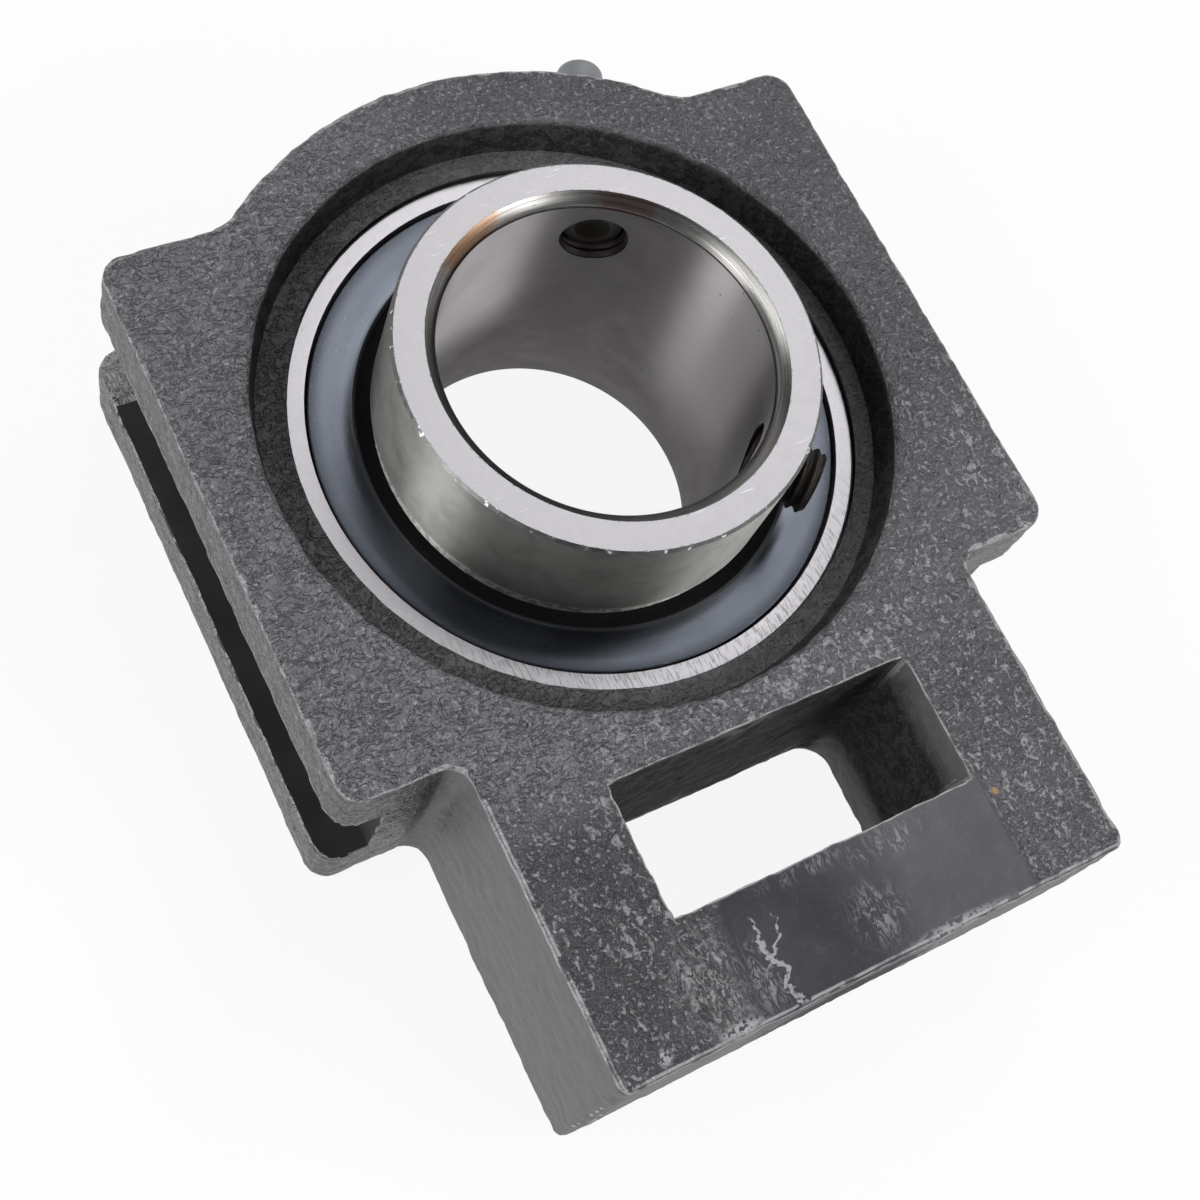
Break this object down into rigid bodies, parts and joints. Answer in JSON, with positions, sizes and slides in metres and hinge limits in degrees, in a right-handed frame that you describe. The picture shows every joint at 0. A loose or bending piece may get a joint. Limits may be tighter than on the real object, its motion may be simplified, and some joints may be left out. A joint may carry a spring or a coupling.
{
  "type": "take-up bearing unit",
  "caption": "Cast take-up housing with side guide grooves, nut window and adjusting-screw hole, holding a self-aligning set-screw ball bearing.",
  "frame": {"origin": "centre of the ball row, on the shaft axis", "axes": "+Z along the shaft towards the set-screw side, +Y towards the rounded head, -Y towards the adjusting-screw end"},
  "size_m": [0.1166, 0.1547, 0.0517],
  "materials": {
    "casting": "grey paint over an as-cast surface, satin",
    "ring_steel": "ground bearing steel",
    "seal_rubber": "matt black rubber",
    "flinger_steel": "pressed steel with a dark satin coating",
    "cage_steel": "pressed strip steel",
    "rivet_steel": "upset steel",
    "ball_steel": "polished bearing balls",
    "screw_steel": "black oxide",
    "nipple_steel": "zinc plate",
    "spring_steel": "drawn spring wire",
    "cap_plastic": "smooth grey plastic"
  },
  "bodies": {
    "housing": {"housing": "casting", "nipple_body": "nipple_steel", "nipple_spring": "spring_steel"},
    "check_ball": {"nipple_ball": "ball_steel"},
    "grease_cap": {"nipple_cap": "cap_plastic"},
    "outer_ring": {"outer_ring": "ring_steel", "seal_front": "seal_rubber", "seal_back": "seal_rubber"},
    "inner_ring": {"inner_ring": "ring_steel", "flinger_front": "flinger_steel", "flinger_back": "flinger_steel"},
    "set_screw_1": {"set_screw_1": "screw_steel"},
    "set_screw_2": {"set_screw_2": "screw_steel"},
    "cage": {"cage_front": "cage_steel", "cage_back": "cage_steel", "cage_rivets": "rivet_steel"},
    "ball_01": {"ball_01": "ball_steel"},
    "ball_02": {"ball_02": "ball_steel"},
    "ball_03": {"ball_03": "ball_steel"},
    "ball_04": {"ball_04": "ball_steel"},
    "ball_05": {"ball_05": "ball_steel"},
    "ball_06": {"ball_06": "ball_steel"},
    "ball_07": {"ball_07": "ball_steel"},
    "ball_08": {"ball_08": "ball_steel"},
    "ball_09": {"ball_09": "ball_steel"},
    "ball_10": {"ball_10": "ball_steel"}
  },
  "joints": [
    {"name": "ring_tilt", "type": "hinge", "parent": "housing", "child": "outer_ring", "pos_m": [0, 0, 0], "axis": [1, 0, 0], "range_deg": [-2, 2]},
    {"name": "inner_ring_spin", "type": "hinge", "parent": "outer_ring", "child": "inner_ring", "pos_m": [0, 0, 0], "axis": [0, 0, 1], "continuous": true},
    {"name": "cage_spin", "type": "hinge", "parent": "outer_ring", "child": "cage", "pos_m": [0, 0, 0], "axis": [0, 0, 1], "continuous": true},
    {"name": "ball_01_spin", "type": "hinge", "parent": "cage", "child": "ball_01", "pos_m": [0.035, 0, 0], "axis": [0, 0, 1], "continuous": true},
    {"name": "ball_02_spin", "type": "hinge", "parent": "cage", "child": "ball_02", "pos_m": [0.02832, 0.02057, 0], "axis": [0, 0, 1], "continuous": true},
    {"name": "ball_03_spin", "type": "hinge", "parent": "cage", "child": "ball_03", "pos_m": [0.01082, 0.03329, 0], "axis": [0, 0, 1], "continuous": true},
    {"name": "ball_04_spin", "type": "hinge", "parent": "cage", "child": "ball_04", "pos_m": [-0.01082, 0.03329, 0], "axis": [0, 0, 1], "continuous": true},
    {"name": "ball_05_spin", "type": "hinge", "parent": "cage", "child": "ball_05", "pos_m": [-0.02832, 0.02057, 0], "axis": [0, 0, 1], "continuous": true},
    {"name": "ball_06_spin", "type": "hinge", "parent": "cage", "child": "ball_06", "pos_m": [-0.035, 0, 0], "axis": [0, 0, 1], "continuous": true},
    {"name": "ball_07_spin", "type": "hinge", "parent": "cage", "child": "ball_07", "pos_m": [-0.02832, -0.02057, 0], "axis": [0, 0, 1], "continuous": true},
    {"name": "ball_08_spin", "type": "hinge", "parent": "cage", "child": "ball_08", "pos_m": [-0.01082, -0.03329, 0], "axis": [0, 0, 1], "continuous": true},
    {"name": "ball_09_spin", "type": "hinge", "parent": "cage", "child": "ball_09", "pos_m": [0.01082, -0.03329, 0], "axis": [0, 0, 1], "continuous": true},
    {"name": "ball_10_spin", "type": "hinge", "parent": "cage", "child": "ball_10", "pos_m": [0.02832, -0.02057, 0], "axis": [0, 0, 1], "continuous": true},
    {"name": "set_screw_1_turn_in", "type": "slide", "parent": "inner_ring", "child": "set_screw_1", "axis": [0.4384, 0.8988, 0], "range_m": [-0.00169, 0.0048]},
    {"name": "set_screw_2_turn_in", "type": "slide", "parent": "inner_ring", "child": "set_screw_2", "axis": [0.6691, -0.7431, 0], "range_m": [-0.00169, 0.0048]},
    {"name": "grease_cap_pull", "type": "slide", "parent": "housing", "child": "grease_cap", "axis": [0.4802, 0.8771, 0], "range_m": [0, 0.015]},
    {"name": "check_ball_lift", "type": "slide", "parent": "housing", "child": "check_ball", "axis": [0.4802, 0.8771, 0], "range_m": [-0.0008, 0], "stiffness_N_per_m": 100, "deforming": ["nipple_spring"]}
  ],
  "couplings": [
    {"joint": "cage_spin", "follows": "inner_ring_spin", "ratio": 0.40929},
    {"joint": "ball_01_spin", "follows": "inner_ring_spin", "ratio": -2.6652},
    {"joint": "ball_02_spin", "follows": "inner_ring_spin", "ratio": -2.6652},
    {"joint": "ball_03_spin", "follows": "inner_ring_spin", "ratio": -2.6652},
    {"joint": "ball_04_spin", "follows": "inner_ring_spin", "ratio": -2.6652},
    {"joint": "ball_05_spin", "follows": "inner_ring_spin", "ratio": -2.6652},
    {"joint": "ball_06_spin", "follows": "inner_ring_spin", "ratio": -2.6652},
    {"joint": "ball_07_spin", "follows": "inner_ring_spin", "ratio": -2.6652},
    {"joint": "ball_08_spin", "follows": "inner_ring_spin", "ratio": -2.6652},
    {"joint": "ball_09_spin", "follows": "inner_ring_spin", "ratio": -2.6652},
    {"joint": "ball_10_spin", "follows": "inner_ring_spin", "ratio": -2.6652}
  ]
}
